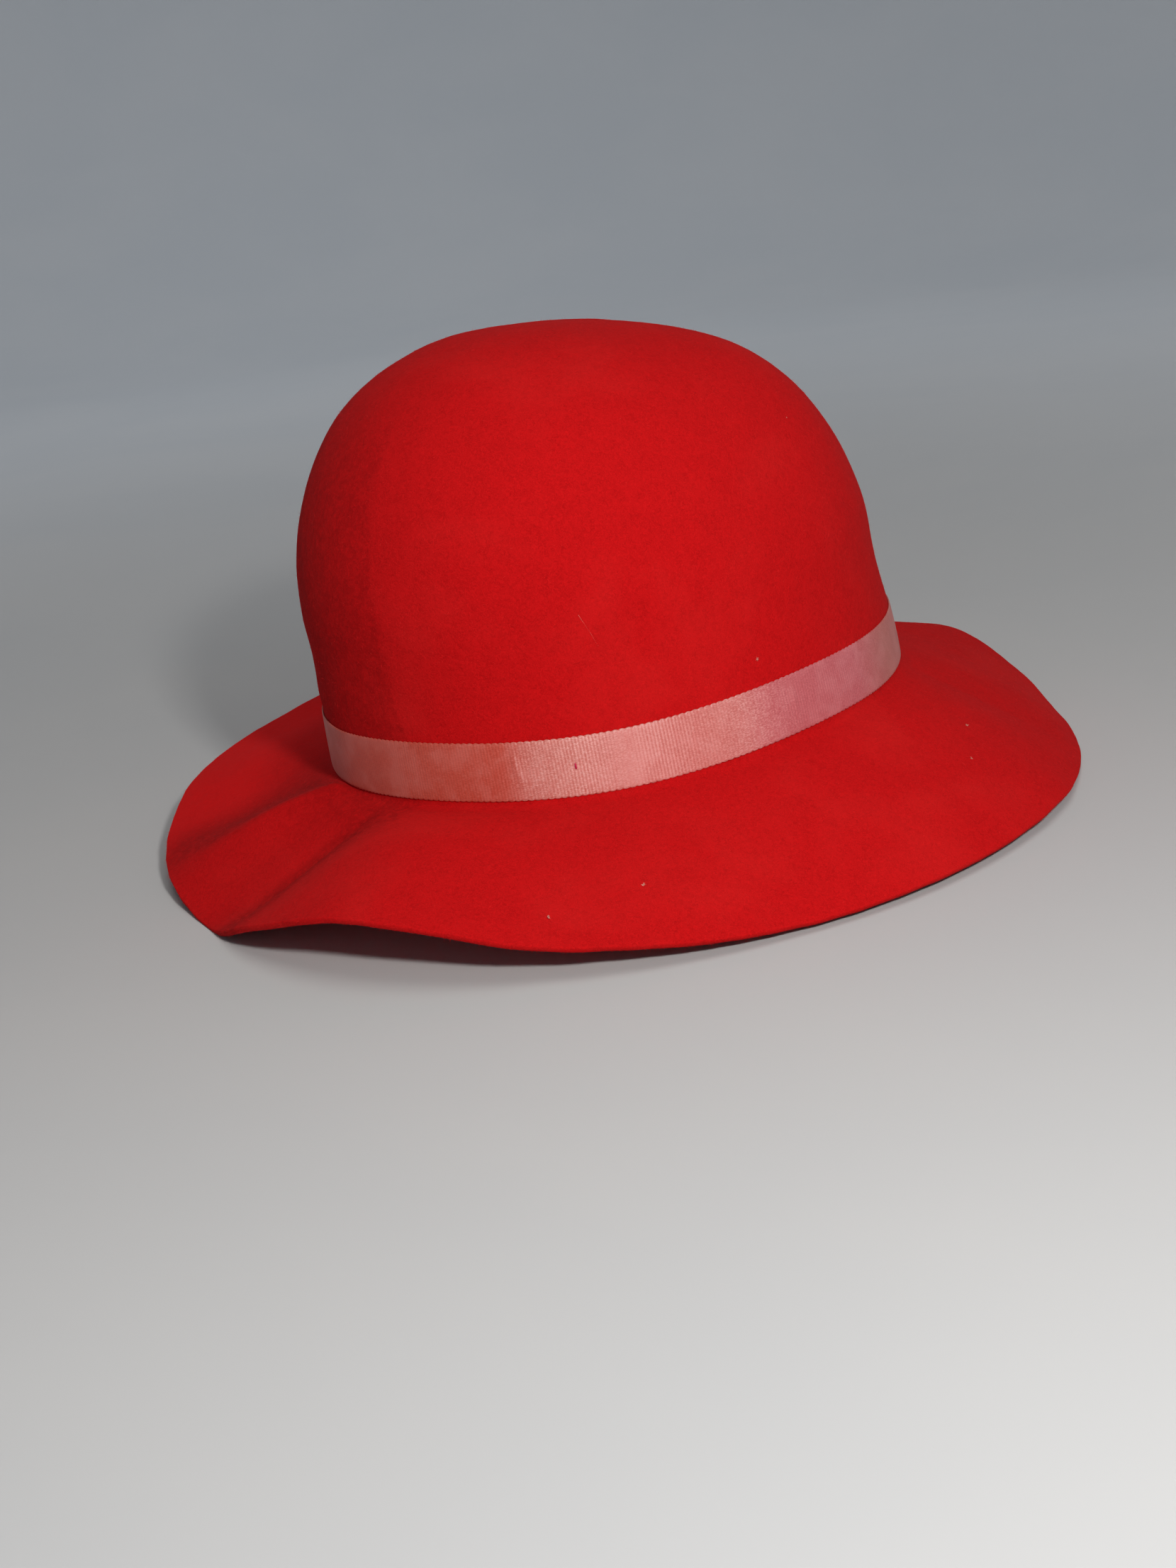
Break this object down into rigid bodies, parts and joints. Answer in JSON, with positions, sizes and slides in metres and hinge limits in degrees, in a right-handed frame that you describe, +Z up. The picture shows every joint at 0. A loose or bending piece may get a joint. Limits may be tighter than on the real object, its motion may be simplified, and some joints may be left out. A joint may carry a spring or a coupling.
{
  "type": "crusher hat",
  "caption": "Soft felt hat with a rounded crown, a waving turned-down brim and a ribbed ribbon band round the foot of the crown.",
  "frame": {"origin": "on the surface the hat stands on, under the middle of the hat's bounding box", "axes": "+Z is up, -Y is the front of the hat and +X the wearer's left; the long axis of the head oval lies along Y"},
  "size_m": [0.2892, 0.3213, 0.1548],
  "materials": {
    "felt": "matt red wool felt with a short nap",
    "ribbon": "salmon-pink grosgrain ribbon with a satin sheen"
  },
  "bodies": {
    "root": {"felt_body": "felt", "ribbon_band": "ribbon"}
  },
  "joints": []
}
